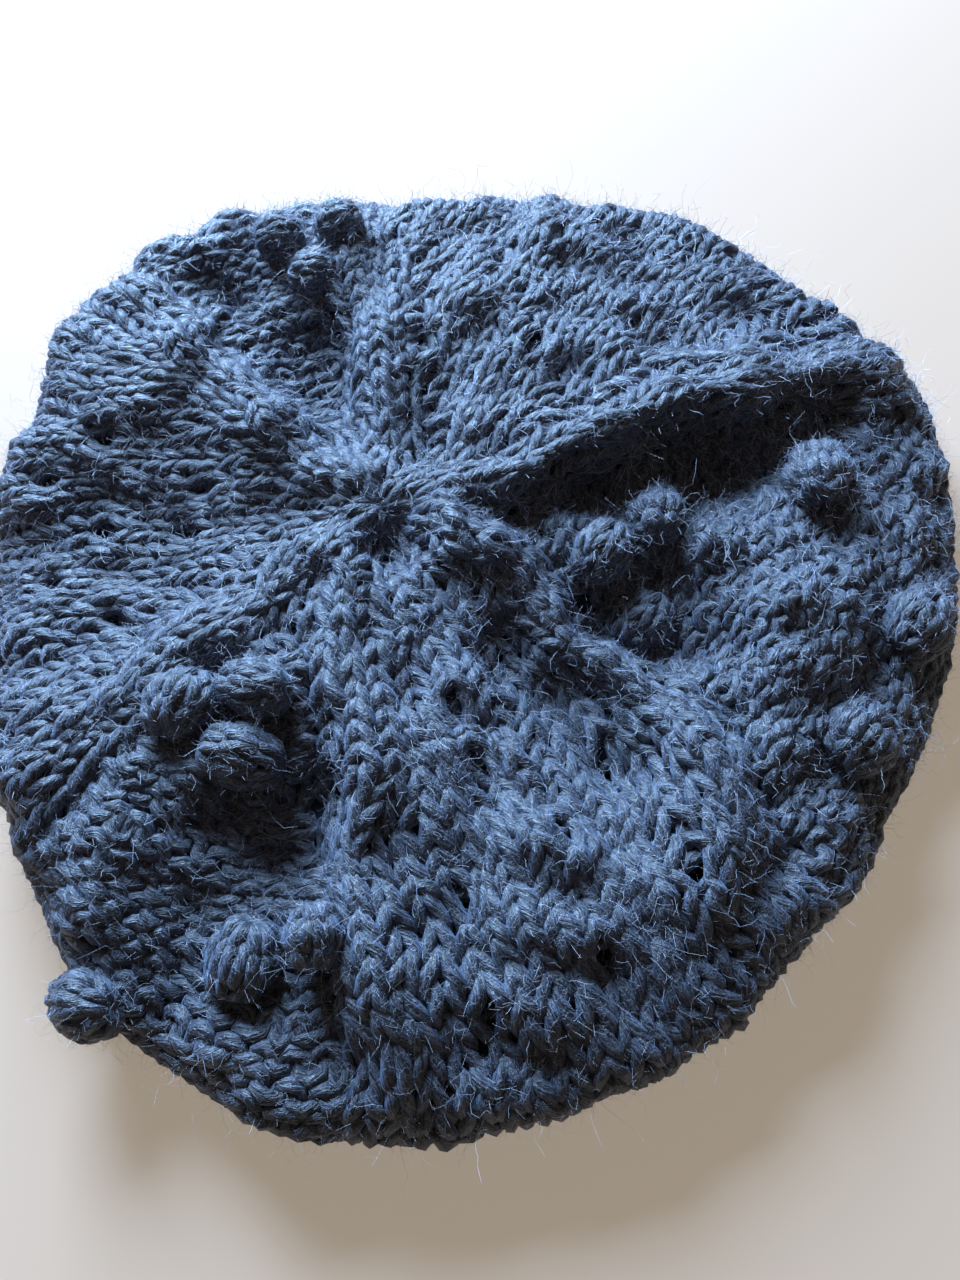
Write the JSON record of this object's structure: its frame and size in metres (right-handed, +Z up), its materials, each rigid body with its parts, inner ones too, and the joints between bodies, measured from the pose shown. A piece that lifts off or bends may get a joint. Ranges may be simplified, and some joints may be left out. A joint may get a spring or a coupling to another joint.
{
  "type": "knitted slouch beanie",
  "caption": "Chunky hand-knitted wool slouch beanie, laid flat with its crown up, with ribs of plain stitches, lace eyelets, raised bobbles and a ribbed band underneath.",
  "frame": {"origin": "the middle of the hat's outline, on the surface it lies on", "axes": "+Z up, out of the crown; +X to the right and -Y towards the near side of the hat as it lies"},
  "size_m": [0.2752, 0.2791, 0.0402],
  "materials": {
    "crown_knit": "soft twisted wool yarn, dark slate navy, fuzzy",
    "band_knit": "the same wool yarn worked as rib",
    "bobble_knit": "the same wool yarn, wound into round knots"
  },
  "bodies": {
    "root": {"crown": "crown_knit", "brim_band": "band_knit", "bobble_01": "bobble_knit", "bobble_02": "bobble_knit", "bobble_03": "bobble_knit", "bobble_04": "bobble_knit", "bobble_05": "bobble_knit", "bobble_06": "bobble_knit", "bobble_07": "bobble_knit", "bobble_08": "bobble_knit", "bobble_09": "bobble_knit", "bobble_10": "bobble_knit", "bobble_11": "bobble_knit", "bobble_12": "bobble_knit", "bobble_13": "bobble_knit", "bobble_14": "bobble_knit", "bobble_15": "bobble_knit"}
  },
  "joints": []
}
